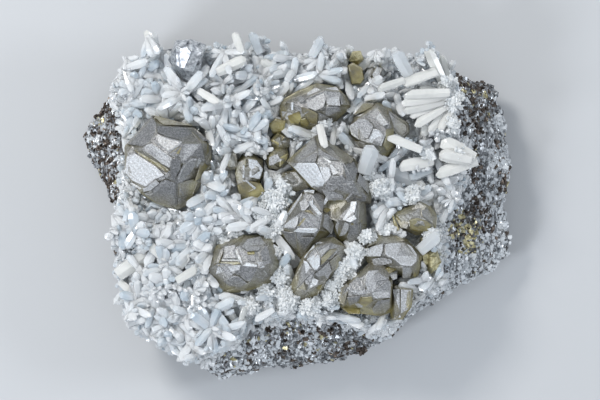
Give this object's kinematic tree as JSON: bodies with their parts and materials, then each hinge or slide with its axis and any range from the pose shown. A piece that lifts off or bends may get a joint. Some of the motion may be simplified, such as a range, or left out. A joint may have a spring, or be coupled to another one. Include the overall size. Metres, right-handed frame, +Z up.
{
  "type": "cleiophane mineral specimen",
  "caption": "Cabinet mineral specimen: pale cleiophane (sphalerite) crystals in a druse of white quartz points, on a slab of sulphide rock, lying flat.",
  "frame": {"origin": "under the middle of the specimen's bounding box, on the surface that its flat broken base rests on", "axes": "+X along the slab's length, to the right of the picture; +Y to the top of the picture; +Z up, out of the crystal side"},
  "size_m": [0.1088, 0.0882, 0.0392],
  "materials": {
    "sulphide_rock": "rough broken sulphide ore with metallic glints and specks of white quartz and gold-coloured chalcopyrite",
    "quartz": "milky, slightly bluish, translucent crystal with a glassy surface",
    "cleiophane": "adamantine, finely frosted grey-tan crystal faces, honey-brown where light passes the edges",
    "galena": "bright lead-grey metallic crystal faces",
    "chalcopyrite": "brass-yellow metallic"
  },
  "bodies": {
    "root": {"sulphide_rock": "sulphide_rock", "quartz_druse": "quartz", "cleiophane_left_large": "cleiophane", "cleiophane_small_left": "cleiophane", "cleiophane_small_pair": "cleiophane", "cleiophane_upper_middle": "cleiophane", "cleiophane_upper_right": "cleiophane", "cleiophane_centre_cluster": "cleiophane", "cleiophane_lower_left": "cleiophane", "cleiophane_lower_right_group": "cleiophane", "cleiophane_right": "cleiophane", "galena_crystal": "galena", "chalcopyrite_top": "chalcopyrite", "chalcopyrite_right": "chalcopyrite"}
  },
  "joints": []
}
